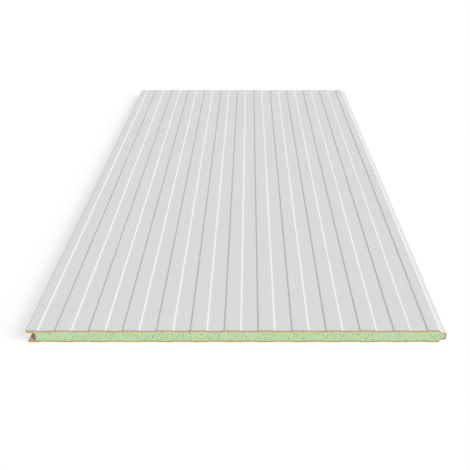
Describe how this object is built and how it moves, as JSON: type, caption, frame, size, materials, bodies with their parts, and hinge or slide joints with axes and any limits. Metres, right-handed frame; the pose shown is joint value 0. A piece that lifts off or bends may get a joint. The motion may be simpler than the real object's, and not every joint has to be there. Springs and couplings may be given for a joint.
{
  "type": "insulated sandwich panel",
  "caption": "Flat insulated cladding panel: two micro-profiled coated steel skins on a rigid foam core, with tongue-and-groove long edges.",
  "frame": {"origin": "middle of the panel's footprint, on the surface that its inner face lies on", "axes": "+X across the panel from the groove edge to the tongue edge, +Y along its length, +Z out of its outer face"},
  "size_m": [1.15, 2.1, 0.04],
  "materials": {
    "outer_steel": "light grey polyester coil coating on galvanised steel, low satin",
    "inner_steel": "light grey polyester coil coating on galvanised steel, low satin",
    "foam": "pale green rigid polyisocyanurate foam, sawn ends with darker open cells",
    "kraft_tape": "brown kraft edge tape, matte"
  },
  "bodies": {
    "root": {"outer_skin": "outer_steel", "inner_skin": "inner_steel", "foam_core": "foam", "groove_tape": "kraft_tape", "tongue_tape": "kraft_tape"}
  },
  "joints": []
}
